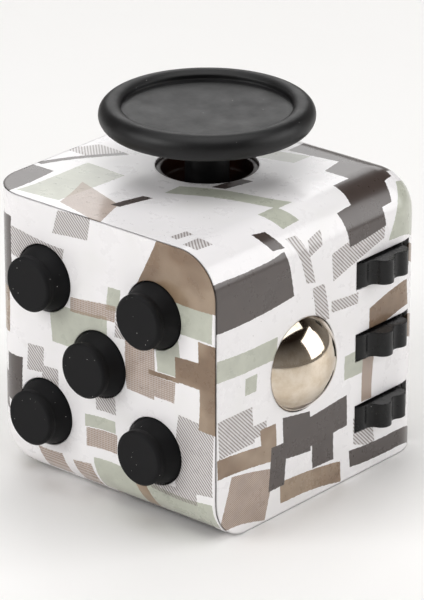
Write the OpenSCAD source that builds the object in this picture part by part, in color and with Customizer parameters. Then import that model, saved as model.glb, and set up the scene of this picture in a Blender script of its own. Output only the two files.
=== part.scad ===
// Fidget cube: two L-shaped shells around six finger controls. Millimetres.
// Origin at the middle of the side it stands on, which has the thumb hollow. +Z is the joystick
// side, -Y the five buttons, +X the ball and the gear wheels, +Y the rocker switch, -X the spin dial.

/* [Cube] */
// Width and height of the cube
cube_w = 33; // [31:0.5:38]
// Extra depth from the button side to the rocker side
more_depth = 3; // [0.5:0.5:4]
// Wall thickness of the shells
wall = 1.8; // [1.6:0.1:2.2]
// Radius of the rounded edges
edge_r = 5; // [4:0.5:6]
// Width of the seam between the two shells
seam_w = 0.1; // [0.05:0.05:0.2]

/* [Buttons] */
// Distance between neighbouring corner buttons
button_pitch = 15.7; // [15:0.1:16]
// Diameter of a button's face
button_d = 6.2; // [5.5:0.1:6.4]
// Diameter of a button's skirt at the wall
skirt_d = 7.4; // [7:0.1:7.6]
// Height of a button's face above the wall
button_h = 2.7; // [2:0.1:3.2]
// Depth that a button travels
button_travel = 0.8; // [0.4:0.1:0.9]

/* [Joystick] */
// Offset of the stick from the middle of its side, to the left
stick_left = 2; // [0:0.5:2.5]
// Offset of the stick from the middle of its side, to the back
stick_back = 2; // [0:0.5:2.5]
// Diameter of the cap
cap_d = 23.7; // [20:0.1:24]
// Height of the cap's rim above the wall
cap_h = 7.4; // [6.5:0.1:9]
// Diameter of the dish in the cap
dish_d = 18.8; // [16:0.1:19]
// Diameter of the stick
stick_d = 4.9; // [4.5:0.1:5]
// Diameter of the opening around the stick
stick_hole_d = 11.4; // [10.4:0.1:11.6]

/* [Ball] */
// Diameter of the ball
ball_d = 12.4; // [12:0.1:12.5]
// Height of the ball above the wall
ball_h = 2.9; // [2.6:0.1:3]
// Distance of the ball from the middle of its side, to the front
ball_front = 2.2; // [2:0.1:3]
// Depth that the ball clicks in
ball_travel = 0.6; // [0.3:0.1:0.7]

/* [Gear wheels] */
// Diameter over the lobes
gear_d = 10.8; // [10.2:0.1:10.8]
// Thickness of a wheel
gear_t = 2.8; // [2.4:0.1:2.9]
// Number of lobes on a wheel
gear_lobes = 9; // [8:1:10]
// Distance between neighbouring wheels
gear_pitch = 8.5; // [8.2:0.1:8.6]
// Turn of the wheels' lobes from the outward line
gear_phase = -13; // [-20:1:20]

/* [Other sides] */
// Diameter of the spin dial
dial_d = 16; // [12:0.5:17]
// Height of the dial above the wall
dial_h = 2.1; // [1.5:0.1:3]
// Width of the rocker switch
rocker_w = 7; // [6:0.1:7]
// Angle between the rocker's two rest positions
rocker_swing = 20; // [12:1:22]
// Width of the thumb hollow
hollow_d = 18; // [14:0.5:20]
// Depth of the thumb hollow
hollow_depth = 1.5; // [0.8:0.1:1.6]

/* [Hidden] */
$fn = 96;
e = 0.01;
half = cube_w / 2;
inner = half - wall;
back = half + more_depth;
back_inner = inner + more_depth;
mid_y = more_depth / 2;
core_r = edge_r - wall;
big = 3 * cube_w;

// Fits: gap of a running pair, and gap between two pieces that pass each other
run_gap = 0.05;
pass_gap = 0.15;

// Corner pegs that hold the shells together
peg_r = 0.7;
peg_at = inner - 1.6;
peg_len = 4.1;
peg_boss = 2.7;
peg_boss_from = inner - 4.9;
peg_boss_to = inner - 0.9;
lip_len = 16;
lip_t = 1;
lip_h = 1.5;

// Screws, all of one small size
screw_r = 0.55;
screw_head_r = 1.2;
screw_head_h = 0.7;
boss_r = 1.6;
screw_bite = 3;

// Buttons
button_r = button_d / 2;
skirt_r = skirt_d / 2;
button_hole_r = skirt_r + pass_gap;
button_off = button_pitch / 2;
flange_r = skirt_r + 0.45;
flange_t = 0.7;
flange_gap = 0.15;
plunger_r = 1.6;
plunger_len = 1;
button_rim = 0.25;
BUTTONS = [[-1, 1], [1, 1], [0, 0], [-1, -1], [1, -1]];
pad_t = 0.8;
board_t = 1.2;
plunger_end = inner - flange_gap - flange_t - plunger_len;
pad_y = plunger_end - button_travel - 0.1;
board_y = pad_y - pad_t;
board_half = inner - 2.9;
board_notch = 3.2;
dome_foot_r = 3.2;
dome_top_r = 1.9;
board_posts = [[-9.5, 0], [0, 9.5], [0, -9.5]];

// Joystick: a gimbal under the wall, and a cap that spins on the hollow stick
stick_at = [-stick_left, mid_y + stick_back];
cap_r = cap_d / 2;
dish_r = dish_d / 2;
rim_r = 1.45;
cap_top = half + cap_h;
rim_z = cap_top - rim_r;
cap_low = rim_z - 1.25;
dish_z = rim_z + 0.55;
dish_sag = 0.4;
dish_ball_r = (dish_r * dish_r + dish_sag * dish_sag) / (2 * dish_sag);
stick_r = stick_d / 2;
stick_bore_r = 1.25;
pivot_z = inner - 6.2;
hub_r = 3.4;
hub_h = 2.4;
ring_in = 3.9;
ring_out = 5.1;
ring_h = 2.2;
frame_in = 5.5;
frame_out = 7.2;
frame_h = 2.6;
frame_ear = 9;
ear_t = 1.5;
pin_r = 0.5;
boot_t = 0.6;

// Ball and its click slide
ball_r = ball_d / 2;
ball_x = half + ball_h - ball_r;
ball_y = -ball_front;
ball_seat_gap = 0.08;
cup_r = 5.8;
cup_front = ball_x - 3;
cup_back = ball_x - ball_r - 1.4;
snap_gap = ball_travel + 0.4;
guide_t = 1;
guide_in = cup_r + run_gap;
guide_out = guide_in + guide_t;
guide_floor = cup_back - snap_gap;
arm_w = 4;
arm_t = 1.8;
arm_from = cup_back + 0.9;
foot_t = 1.2;
foot_h = 4.3;
foot_screw = guide_out + 2.8;

// Gear wheels
gear_r = gear_d / 2;
lobe_r = 1.2;
valley_r = 1;
axle_r = 0.8;
gear_x = inner - 1.5;
gear_y = back_inner - 1 - gear_r;
gear_mid = -1.2;
slot_gap = 0.25;
slot_half = sqrt(gear_r * gear_r - pow(half - gear_x, 2)) + 0.25;
GEARS = [1, 0, -1];
lobe_at = gear_r - lobe_r;
valley_at = lobe_at * cos(180 / gear_lobes)
    + sqrt(pow(lobe_r + valley_r, 2) - pow(lobe_at * sin(180 / gear_lobes), 2));
gear_core_r = norm([lobe_at, 0] + ([valley_at * cos(180 / gear_lobes), valley_at * sin(180 / gear_lobes)]
    - [lobe_at, 0]) * lobe_r / (lobe_r + valley_r)) + 0.03;
arm_gap = 0.35;
spine_t = 1.2;
spine_x = gear_x - gear_r - 0.4 - spine_t;
spine_y = gear_y - 4;
bracket_ear = 3.6;
bracket_arm_t = 1.2;
bracket_top = gear_mid + gear_pitch + gear_t / 2 + arm_gap + bracket_arm_t;
bracket_low = gear_mid - gear_pitch - gear_t / 2 - arm_gap - bracket_arm_t;
bracket_screw_x = spine_x - bracket_ear / 2;

// Rocker switch on the back
rocker_y = back_inner - 1;
rocker_end_r = 5;
rocker_proud = 4.2;
rocker_dip = 0.8;
rocker_hub_r = 1.5;
rocker_pin_r = 0.7;
rocker_open = rocker_end_r + 0.2;
cheek_t = 1.2;
cheek_gap = 0.25;
cradle_y = back_inner - 3;
cradle_t = 0.8;
cradle_post = 8.1;

// Spin dial on the left
dial_r = dial_d / 2;
dial_recess = 0.5;
dial_gap = 0.1;
dial_bowl_r = 14;
shaft_r = 1.5;
dial_boss_r = 3;
dial_boss_t = 0.7;
washer_t = 0.55;
wave_t = 0.4;

// Thumb hollow underneath
hollow_r = hollow_d / 2;
hollow_ball_r = (hollow_r * hollow_r + hollow_depth * hollow_depth) / (2 * hollow_depth);

white = "white";
black = "#222224";
nickel = "#c9b79a";
steel = "#b8bcc0";
brass = "#c8a860";
grey = "#8c8f93";

// ---- Helpers ----

// Everything is drawn with the middle of a cube of the front side's width at 0, then raised to
// stand on z = 0, and moved so that the whole depth is about y = 0
module raised() { translate([0, -mid_y, half]) children(); }

// Cylinders that run along +X and +Y
module rod_x(r, l) { rotate([0, 90, 0]) cylinder(r = r, h = l); }
module rod_y(r, l) { rotate([-90, 0, 0]) cylinder(r = r, h = l); }

module tube(r_out, r_in, l) {
    difference() {
        cylinder(r = r_out, h = l);
        translate([0, 0, -1]) cylinder(r = r_in, h = l + 2);
    }
}

// The box from one corner to the opposite one
module box(from, to) { translate(from) cube(to - from); }

// A third of a turn about the long diagonal takes front to bottom to left, and right to back to top
module three_ways() { for (k = [0:2]) rotate(a = 120 * k, v = [1, 1, 1]) children(); }

// The opposite corner's copy
module opposite() { mirror([1, 0, 0]) mirror([0, 1, 0]) mirror([0, 0, 1]) children(); }

// Small screw along -Z: its head stands on z = 0 and its shank goes down
module screw(l) {
    difference() {
        union() {
            cylinder(r = screw_head_r, h = screw_head_h);
            translate([0, 0, -l]) cylinder(r = screw_r, h = l + e);
        }
        translate([0, 0, screw_head_h - 0.35]) cylinder(r = 0.5, h = 1, $fn = 6);
    }
}

// ---- Outer form ----

// Square with two opposite corners rounded
module leaf_square(w, r) {
    difference() {
        square(2 * w, center = true);
        for (s = [-1, 1]) translate([s * (w - r / 2 + 0.5), s * (w - r / 2 + 0.5)])
            square(r + 1, center = true);
    }
    for (s = [-1, 1]) translate([s * (w - r), s * (w - r)]) circle(r = r);
}

// Cube with three edges rounded into a ball corner at the top, right and back, and three at the
// front, bottom and left. The other six edges are sharp: the seam follows them.
module cube_form(w, r) {
    difference() {
        intersection() {
            linear_extrude(2 * w, center = true) leaf_square(w, r);
            rotate([90, 0, 0]) linear_extrude(2 * w + 2, center = true) leaf_square(w, r);
            rotate([90, 0, 90]) linear_extrude(2 * w + 2, center = true) leaf_square(w, r);
        }
        corner_cut(w, r);
        opposite() corner_cut(w, r);
    }
}

module corner_cut(w, r) {
    difference() {
        translate((w - r) * [1, 1, 1]) cube(r + 1);
        translate((w - r) * [1, 1, 1]) sphere(r = r);
    }
}

// Half of space where x + y is more than the gap
module half_space(gap) {
    rotate([0, 0, 45]) translate([gap / sqrt(2), -big, -big]) cube(2 * big);
}

// Corner of the top, right and back shell where its rounded edge ends at a flat side
module mitre_corner(gap) {
    difference() {
        box([half - edge_r, -half - 1, half - edge_r], [half + 1, -half + edge_r, half + 1]);
        translate([half - edge_r, -half, half - edge_r]) rotate([-90, 0, 0])
            cylinder(r1 = edge_r + gap, r2 = 0, h = edge_r + gap);
        box([half - edge_r - 1, -half - 2, half - edge_r - 1], [half + 2, -half, half + 2]);
    }
}

// Space that belongs to the top, right and back shell
module upper_space(gap) {
    difference() {
        union() {
            three_ways() intersection() {
                half_space(gap);
                rotate(a = 120, v = [1, 1, 1]) half_space(gap);
            }
            three_ways() mitre_corner(gap);
        }
        three_ways() opposite() mitre_corner(-gap);
    }
}

// The cube is cut across its middle, and the back half moves back by the extra depth
module parted() {
    intersection() {
        children();
        box([-big, -big, -big], [big, 0, big]);
    }
    translate([0, more_depth, 0]) intersection() {
        children();
        box([-big, 0, -big], [big, big, big]);
    }
}

// What joins the two halves: the walls' section, on one side of the mitre planes
module joining(side) {
    translate([0, more_depth + e, 0]) rotate([90, 0, 0]) linear_extrude(more_depth + 2 * e) intersection() {
        difference() {
            leaf_square(half, edge_r);
            leaf_square(inner, core_r);
        }
        rotate(45) translate([side > 0 ? seam_w / 2 / sqrt(2) : -2 * big - seam_w / 2 / sqrt(2), -big])
            square(2 * big);
    }
}

module hollow_cube() {
    difference() {
        cube_form(half, edge_r);
        cube_form(inner, core_r);
    }
}

// ---- Shells ----

module shell_top_right_back() {
    color(white) raised() difference() {
        union() {
            parted() {
                difference() {
                    hollow_cube();
                    opposite() upper_space(-seam_w / 2);
                }
                peg_bosses();
                opposite() pegs();
            }
            joining(1);
            for (s = [-1, 1]) translate([stick_at[0] + s * frame_ear, stick_at[1], pivot_z + frame_h / 2])
                cylinder(r = boss_r, h = inner - pivot_z - frame_h / 2 + e);
            for (s = [-1, 1]) translate([0, cradle_y, s * cradle_post])
                rod_y(boss_r, back_inner - cradle_y + e);
        }
        translate([stick_at[0], stick_at[1], 0]) cylinder(r = stick_hole_d / 2, h = big);
        for (s = [-1, 1]) translate([stick_at[0] + s * frame_ear, stick_at[1], pivot_z])
            cylinder(r = screw_r, h = frame_h / 2 + screw_bite);
        translate([ball_x, ball_y, 0]) rotate([0, 90, 0]) sphere(r = ball_r + ball_seat_gap, $fn = 128);
        translate([ball_x, ball_y, 0]) rotate([0, -90, 0]) cylinder(r = ball_r + ball_seat_gap, h = half);
        for (s = [-1, 1]) translate([inner - e, ball_y, s * foot_screw]) rod_x(screw_r, 1.3);
        for (k = GEARS) gear_slot(gear_mid + k * gear_pitch);
        for (z = bracket_screw_z()) translate([bracket_screw_x, back_inner - e, z]) rod_y(screw_r, 1.3);
        box([-rocker_w / 2 - 0.2, back_inner - 1, -rocker_open],
            [rocker_w / 2 + 0.2, back + 1, rocker_open]);
        for (s = [-1, 1]) translate([0, cradle_y - e, s * cradle_post]) rod_y(screw_r, screw_bite);
    }
}

module gear_slot(z) {
    box([inner - 1, gear_y - slot_half, z - gear_t / 2 - slot_gap],
        [half + 1, gear_y, z + gear_t / 2 + slot_gap]);
    translate([gear_x, gear_y, z - gear_t / 2 - slot_gap])
        cylinder(r = gear_r + slot_gap, h = gear_t + 2 * slot_gap);
}

module shell_front_bottom_left() {
    color(white) raised() difference() {
        union() {
            parted() {
                difference() {
                    hollow_cube();
                    upper_space(-seam_w / 2);
                }
                opposite() peg_bosses();
                pegs();
                three_ways() lips();
            }
            joining(-1);
            side_lips();
            for (p = board_posts) translate([p[0], -inner - e, p[1]]) rod_y(boss_r, inner - board_y + e);
            translate([-inner - e, mid_y, 0]) rod_x(dial_boss_r, dial_boss_t + e);
            hollow_backing();
        }
        for (b = BUTTONS) translate([b[0] * button_off, -half - 1, b[1] * button_off])
            rod_y(button_hole_r, wall + 2);
        for (p = board_posts) translate([p[0], -board_y - screw_bite, p[1]]) rod_y(screw_r, screw_bite + 1);
        translate([-half - 1, mid_y, 0]) rod_x(dial_r + 0.3, 1 + dial_recess);
        translate([-half, mid_y, 0]) rod_x(shaft_r + run_gap, wall + dial_boss_t + 1);
        translate([0, mid_y, -half - hollow_ball_r + hollow_depth]) sphere(r = hollow_ball_r, $fn = 128);
    }
}

// The floor follows the thumb hollow on its inner face
module hollow_backing() {
    intersection() {
        translate([0, mid_y, -half - hollow_ball_r + hollow_depth])
            sphere(r = hollow_ball_r + wall, $fn = 128);
        translate([0, mid_y, -inner - e]) cylinder(r = hollow_r + 2, h = 4);
    }
}

// Boxes in the inner corners with a blind hole for the other shell's pegs
module peg_bosses() {
    for (k = [0, 2]) rotate(a = 120 * k, v = [1, 1, 1]) difference() {
        box([inner - peg_boss, -peg_boss_to, inner - peg_boss], [inner + 0.2, -peg_boss_from, inner + 0.2]);
        translate([peg_at, -peg_boss_to - e, peg_at]) rod_y(peg_r, peg_boss_to - peg_boss_from - 0.6);
    }
}

module pegs() {
    for (k = [0, 2]) rotate(a = 120 * k, v = [1, 1, 1])
        translate([peg_at, -inner - e, peg_at]) rod_y(peg_r, peg_len + e);
}

// Two tongues behind each flat wall that stand inside the other shell's edges
module lips() {
    box([-lip_len / 2, -inner - e, inner - lip_t - 0.1], [lip_len / 2, -inner + lip_h, inner - 0.1]);
    box([inner - lip_t - 0.1, -inner - e, -lip_len / 2], [inner - 0.1, -inner + lip_h, lip_len / 2]);
}

// The lips behind the top and the right wall go on across the extra depth
module side_lips() {
    box([-inner - e, -e, inner - lip_t - 0.1], [-inner + lip_h, more_depth + e, inner - 0.1]);
    box([inner - lip_t - 0.1, -e, -inner - e], [inner - 0.1, more_depth + e, -inner + lip_h]);
}

// ---- Buttons ----

module button(k) {
    color(black) raised() translate([BUTTONS[k][0] * button_off, 0, BUTTONS[k][1] * button_off]) {
        translate([0, -half, 0]) rotate([90, 0, 0]) {
            cylinder(r1 = skirt_r, r2 = button_r - 0.1, h = button_h - 1.1);
            cylinder(r = button_r - 0.1, h = button_h - 0.8);
            translate([0, 0, button_h - 0.8 - e]) cylinder(r = button_r, h = 0.8 - button_rim + e);
            translate([0, 0, button_h - button_rim])
                cylinder(r1 = button_r, r2 = button_r - button_rim, h = button_rim);
        }
        translate([0, -half, 0]) rod_y(skirt_r, wall + flange_gap + e);
        translate([0, -inner + flange_gap, 0]) rod_y(flange_r, flange_t);
        translate([0, -inner + flange_gap + flange_t - e, 0]) rod_y(plunger_r, plunger_len + e);
    }
}

// Silicone sheet with a soft dome behind each button
module button_pad() {
    color("dimgray") raised() difference() {
        union() {
            translate([0, -pad_y, 0]) pad_plate(pad_t);
            for (b = BUTTONS) translate([b[0] * button_off, -pad_y + e, b[1] * button_off])
                rotate([90, 0, 0])
                cylinder(r1 = dome_foot_r, r2 = dome_top_r, h = 0.8 + e);
        }
        for (b = BUTTONS) translate([b[0] * button_off, -board_y + e, b[1] * button_off]) rotate([90, 0, 0])
            cylinder(r1 = dome_foot_r - 0.4, r2 = dome_top_r - 0.3, h = pad_t + 0.45);
        for (p = board_posts) translate([p[0], -pad_y - 1, p[1]]) rod_y(boss_r + 0.2, 3);
    }
}

// Square plate in the plane of the front side, with its corners cut out for the peg bosses
module pad_plate(t) {
    rotate([-90, 0, 0]) linear_extrude(t) difference() {
        square(2 * board_half, center = true);
        for (x = [-1, 1], y = [-1, 1]) translate([x, y] * board_half) square(2 * board_notch, center = true);
    }
}

// Sprung metal domes under three of the buttons, which make them click
module click_domes() {
    color(steel) raised() for (k = [0, 2, 4])
        translate([BUTTONS[k][0] * button_off, -board_y, BUTTONS[k][1] * button_off])
        rotate([90, 0, 0]) difference() {
            cylinder(r1 = 2.4, r2 = 1.2, h = 0.5);
            translate([0, 0, -0.15]) cylinder(r1 = 2.4, r2 = 1.2, h = 0.5);
        }
}

module button_board() {
    color("darkgreen") raised() difference() {
        translate([0, -board_y, 0]) pad_plate(board_t);
        for (p = board_posts) translate([p[0], -board_y - 1, p[1]]) rod_y(screw_r, board_t + 2);
    }
}

module board_screws() {
    color(steel) raised() for (p = board_posts) translate([p[0], -board_y + board_t, p[1]])
        rotate([-90, 0, 0])
        screw(board_t + screw_bite - 0.2);
}

// ---- Joystick ----

module at_stick(z) { translate([stick_at[0], stick_at[1], z]) children(); }

// Dished disc with a rounded rim, and the shaft that spins inside the stick
module joystick_cap() {
    shaft_end = pivot_z - hub_h / 2 - 0.1;
    color(black) raised() at_stick(0) difference() {
        union() {
            rotate_extrude($fn = 128) cap_profile();
            translate([0, 0, shaft_end]) cylinder(r = stick_bore_r - run_gap, h = cap_low - shaft_end + e);
        }
        translate([0, 0, shaft_end - 1]) cylinder(r = screw_r - 0.05, h = screw_bite + 2);
    }
}

module cap_profile() {
    difference() {
        union() {
            square([cap_r - rim_r, dish_z - 0.1]);
            translate([cap_r - rim_r, rim_z]) circle(r = rim_r);
            polygon([[0, 0], [cap_r - 1, 0], [cap_r - 1, cap_low], [cap_r - 0.05, rim_z - 0.1], [0, rim_z]]);
            square([dish_r, dish_z]);
        }
        square([cap_r + 1, cap_low]);
        intersection() {
            translate([0, dish_z - dish_sag + dish_ball_r]) circle(r = dish_ball_r, $fn = 256);
            square([dish_r, big]);
        }
    }
}

module cap_washer() {
    color(steel) raised() at_stick(pivot_z - hub_h / 2 - 0.1 - washer_t) tube(2.4, screw_r, washer_t);
}

module cap_screw() {
    color(steel) raised() at_stick(pivot_z - hub_h / 2 - 0.1 - washer_t) rotate([180, 0, 0])
        difference() {
            union() {
                cylinder(r = 1.8, h = screw_head_h);
                translate([0, 0, -screw_bite]) cylinder(r = screw_r - 0.05, h = screw_bite + e);
            }
            translate([0, 0, screw_head_h - 0.35]) cylinder(r = 0.6, h = 1, $fn = 6);
        }
}

// Hub in the gimbal, with the hollow stick on it
module stick_hub() {
    color(black) raised() at_stick(0) difference() {
        union() {
            translate([0, 0, pivot_z - hub_h / 2]) cylinder(r = hub_r, h = hub_h);
            translate([0, 0, pivot_z]) cylinder(r = stick_r, h = cap_low - 0.15 - pivot_z);
        }
        translate([0, 0, pivot_z - hub_h]) cylinder(r = stick_bore_r, h = big);
        for (s = [-1, 1]) scale([1, s, 1]) translate([0, 2, pivot_z]) rod_y(pin_r, hub_r);
    }
}

module hub_pins() {
    color(steel) raised() at_stick(pivot_z) for (s = [-1, 1]) scale([1, s, 1]) translate([0, 2, 0])
        rod_y(pin_r, ring_out - 2.4);
}

module gimbal_ring() {
    color(grey) raised() at_stick(0) difference() {
        translate([0, 0, pivot_z - ring_h / 2]) tube(ring_out, ring_in, ring_h);
        translate([0, -big / 2, pivot_z]) rod_y(pin_r + run_gap, big);
        translate([-big / 2, 0, pivot_z]) rod_x(pin_r, big);
    }
}

module ring_pins() {
    color(steel) raised() at_stick(pivot_z) for (s = [-1, 1]) scale([s, 1, 1])
        translate([ring_in + 0.3, 0, 0])
        rod_x(pin_r, frame_out - 0.4 - ring_in - 0.3);
}

module gimbal_frame() {
    color(grey) raised() at_stick(0) difference() {
        union() {
            translate([0, 0, pivot_z - frame_h / 2]) cylinder(r = frame_out, h = frame_h);
            for (s = [-1, 1]) translate([s * frame_ear, 0, pivot_z + frame_h / 2 - ear_t])
                cylinder(r = boss_r, h = ear_t);
            box([-frame_ear, -boss_r, pivot_z + frame_h / 2 - ear_t],
                [frame_ear, boss_r, pivot_z + frame_h / 2]);
        }
        translate([0, 0, pivot_z - frame_h]) cylinder(r = frame_in, h = 2 * frame_h);
        translate([-frame_out + 0.3, 0, pivot_z]) rod_x(pin_r + run_gap, 2 * frame_out - 0.6);
        for (s = [-1, 1]) translate([s * frame_ear, 0, 0]) cylinder(r = screw_r, h = big);
    }
}

module frame_screws() {
    color(steel) raised() for (s = [-1, 1]) at_stick(pivot_z + frame_h / 2 - ear_t)
        translate([s * frame_ear, 0, 0])
        rotate([180, 0, 0]) screw(ear_t + screw_bite - 0.2);
}

// Silicone boot that lines and closes the opening around the stick, and springs it upright
module stick_boot() {
    rim = stick_hole_d / 2;
    color(black) raised() at_stick(0) rotate_extrude() polygon([
        [stick_r + 0.75, inner - 2.6], [stick_r + 0.75 + boot_t, inner - 2.6],
        [rim + 1, inner - 0.6], [rim + 1.4, inner], [rim, inner], [rim, half - 0.3],
        [rim - boot_t, half - 0.3], [rim - boot_t, inner - 0.3], [stick_r + 0.75, inner - 1.9]]);
}

// ---- Ball ----

module ball() { color(nickel) raised() translate([ball_x, ball_y, 0]) sphere(r = ball_r, $fn = 128); }

module ball_cup() {
    color(grey) raised() translate([0, ball_y, 0]) difference() {
        translate([cup_back, 0, 0]) rod_x(cup_r, cup_front - cup_back);
        translate([ball_x, 0, 0]) sphere(r = ball_r + ball_seat_gap, $fn = 128);
    }
}

// Metal dome that snaps when the ball is pressed
module ball_snap() {
    color(steel) raised() translate([guide_floor, ball_y, 0]) rotate([0, 90, 0]) difference() {
        cylinder(r1 = 4.2, r2 = 1.8, h = snap_gap - 0.1);
        translate([0, 0, -0.2]) cylinder(r1 = 4.2, r2 = 1.8, h = snap_gap - 0.1);
    }
}

// Round guide for the cup, on two arms that are screwed to the right wall
module ball_guide() {
    color(grey) raised() translate([0, ball_y, 0]) difference() {
        union() {
            translate([guide_floor - guide_t, 0, 0])
                rod_x(guide_out, cup_front - guide_floor + guide_t - 0.6);
            for (s = [0, 1]) mirror([0, 0, s]) {
                box([arm_from, -arm_w / 2, guide_out - 0.5], [inner, arm_w / 2, guide_out - 0.5 + arm_t]);
                box([inner - foot_t, -arm_w / 2, guide_out], [inner, arm_w / 2, guide_out + foot_h]);
            }
        }
        translate([guide_floor, 0, 0]) rod_x(guide_in, cup_front - guide_floor);
        translate([ball_x, 0, 0]) sphere(r = ball_r + 0.25, $fn = 128);
        for (s = [-1, 1]) translate([inner - foot_t - 1, 0, s * foot_screw]) rod_x(screw_r, foot_t + 2);
    }
}

module guide_screws() {
    color(steel) raised() for (s = [-1, 1]) translate([inner - foot_t, ball_y, s * foot_screw])
        rotate([0, -90, 0])
        screw(foot_t + 1.1);
}

// ---- Gear wheels ----

module gear_wheel(k) {
    color(black) raised() translate([gear_x, gear_y, gear_mid + GEARS[k] * gear_pitch - gear_t / 2])
        rotate([0, 0, gear_phase]) linear_extrude(gear_t) difference() {
            union() {
                circle(r = gear_core_r);
                for (i = [0:gear_lobes - 1]) rotate(i * 360 / gear_lobes) translate([lobe_at, 0])
                    circle(r = lobe_r);
            }
            for (i = [0:gear_lobes - 1]) rotate((i + 0.5) * 360 / gear_lobes) translate([valley_at, 0])
                circle(r = valley_r);
            circle(r = axle_r + run_gap);
        }
}

module gear_axle() {
    color(steel) raised() translate([gear_x, gear_y, bracket_low])
        cylinder(r = axle_r, h = bracket_top - bracket_low);
}

function bracket_screw_z() = [gear_mid - gear_pitch, gear_mid + gear_pitch];

// Spine behind the wheels with four arms that carry the axle, and two ears screwed to the back wall
module gear_bracket() {
    color(grey) raised() difference() {
        union() {
            box([spine_x, spine_y, bracket_low], [spine_x + spine_t, back_inner, bracket_top]);
            for (z = bracket_screw_z()) box([spine_x - bracket_ear, back_inner - spine_t, z - boss_r],
                [spine_x + spine_t, back_inner, z + boss_r]);
            for (z = arm_levels()) box([spine_x, gear_y - 2, z - bracket_arm_t / 2],
                [gear_x + 1.4, gear_y + 2, z + bracket_arm_t / 2]);
        }
        translate([gear_x, gear_y, bracket_low - 1]) cylinder(r = axle_r, h = big);
        for (z = bracket_screw_z()) translate([bracket_screw_x, back_inner - 3, z]) rod_y(screw_r, 4);
    }
}

function arm_levels() = [bracket_low + bracket_arm_t / 2, gear_mid - gear_pitch / 2,
    gear_mid + gear_pitch / 2, bracket_top - bracket_arm_t / 2];

module bracket_screws() {
    color(steel) raised() for (z = bracket_screw_z()) translate([bracket_screw_x, back_inner - spine_t, z])
        rotate([90, 0, 0]) screw(spine_t + 1.1);
}

// Strip with three bumps that index the wheels
module gear_leaf_spring() {
    color(brass) raised() translate([spine_x + spine_t, gear_y, 0]) {
        for (k = GEARS) translate([0, -1, gear_mid + k * gear_pitch - 1]) cube([0.3, 2, 2]);
        box([0, -1.4, bracket_low + bracket_arm_t], [0.12, 1.4, arm_levels()[1] - bracket_arm_t / 2]);
        box([0, -1.4, arm_levels()[1] + bracket_arm_t / 2],
            [0.12, 1.4, arm_levels()[2] - bracket_arm_t / 2]);
        box([0, -1.4, arm_levels()[2] + bracket_arm_t / 2], [0.12, 1.4, bracket_top - bracket_arm_t]);
    }
}

// ---- Rocker switch ----

// Tilted to one of its two rest positions
module rocker() {
    color(black) raised() translate([0, rocker_y, 0]) rotate([-rocker_swing / 2, 0, 0]) difference() {
        rotate([90, 0, 90]) linear_extrude(rocker_w, center = true) rocker_profile();
        translate([-big / 2, 0, 0]) rod_x(rocker_pin_r + run_gap, big);
    }
}

module rocker_profile() {
    intersection() {
        circle(r = rocker_end_r);
        polygon([[-0.8, -6], [rocker_proud, -6], [rocker_proud, -3.4], [rocker_proud - rocker_dip, 0],
            [rocker_proud, 3.4], [rocker_proud, 6], [-0.8, 6]]);
    }
    circle(r = rocker_hub_r);
}

module rocker_pin() {
    l = rocker_w / 2 + cheek_gap + cheek_t;
    color(steel) raised() translate([-l, rocker_y, 0]) rod_x(rocker_pin_r, 2 * l);
}

module rocker_cradle() {
    in = rocker_w / 2 + cheek_gap;
    color(grey) raised() difference() {
        union() {
            box([-in - cheek_t, cradle_y - cradle_t, -rocker_end_r], [in + cheek_t, cradle_y, rocker_end_r]);
            box([-boss_r, cradle_y - cradle_t, -cradle_post - boss_r],
                [boss_r, cradle_y, cradle_post + boss_r]);
            for (s = [0, 1]) mirror([s, 0, 0])
                box([in, cradle_y - e, -2.5], [in + cheek_t, back_inner, 2.5]);
        }
        translate([-big / 2, rocker_y, 0]) rod_x(rocker_pin_r, big);
        for (s = [-1, 1]) translate([0, cradle_y - 2, s * cradle_post]) rod_y(screw_r, 4);
    }
}

module cradle_screws() {
    color(steel) raised() for (s = [-1, 1]) translate([0, cradle_y - cradle_t, s * cradle_post])
        rotate([90, 0, 0])
        screw(cradle_t + screw_bite - 0.2);
}

// Bowed strip that holds the rocker at either end
module rocker_leaf_spring() {
    color(brass) raised() translate([0, cradle_y, 0]) {
        box([-1.5, 0, -4.4], [1.5, 0.15, 4.4]);
        translate([-1.5, 0, 0]) intersection() {
            translate([0, -1, 0]) rod_x(1.4, 3);
            translate([0, 0, -2]) cube([3, 2, 4]);
        }
    }
}

// ---- Spin dial ----

module spin_dial() {
    face = half - dial_recess + dial_gap;
    shaft_end = inner - dial_boss_t - wave_t - 0.05;
    color(black) raised() difference() {
        union() {
            translate([-half - dial_h, mid_y, 0]) rod_x(dial_r - 0.5, 0.6);
            translate([-half - dial_h, mid_y, 0]) rotate([0, 90, 0])
                cylinder(r1 = dial_r - 0.5, r2 = dial_r, h = 0.5);
            translate([-half - dial_h + 0.5, mid_y, 0]) rod_x(dial_r, half + dial_h - 0.5 - face);
            translate([-face - e, mid_y, 0]) rod_x(shaft_r, face - shaft_end + e);
        }
        translate([-half - dial_h - dial_bowl_r + 1.1, mid_y, 0]) sphere(r = dial_bowl_r, $fn = 128);
        translate([-shaft_end - screw_bite, mid_y, 0]) rod_x(screw_r, screw_bite + 1);
    }
}

module dial_wave_washer() {
    color(brass) raised() translate([-inner + dial_boss_t, mid_y, 0]) rotate([0, 90, 0])
        tube(2.8, shaft_r + 0.1, wave_t);
}

module dial_washer() {
    color(steel) raised() translate([-inner + dial_boss_t + wave_t + 0.05, mid_y, 0]) rotate([0, 90, 0])
        tube(3, screw_r, washer_t);
}

module dial_screw() {
    color(steel) raised() translate([-inner + dial_boss_t + wave_t + 0.05 + washer_t, mid_y, 0])
        rotate([0, 90, 0])
        screw(washer_t + screw_bite - 0.2);
}

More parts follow.
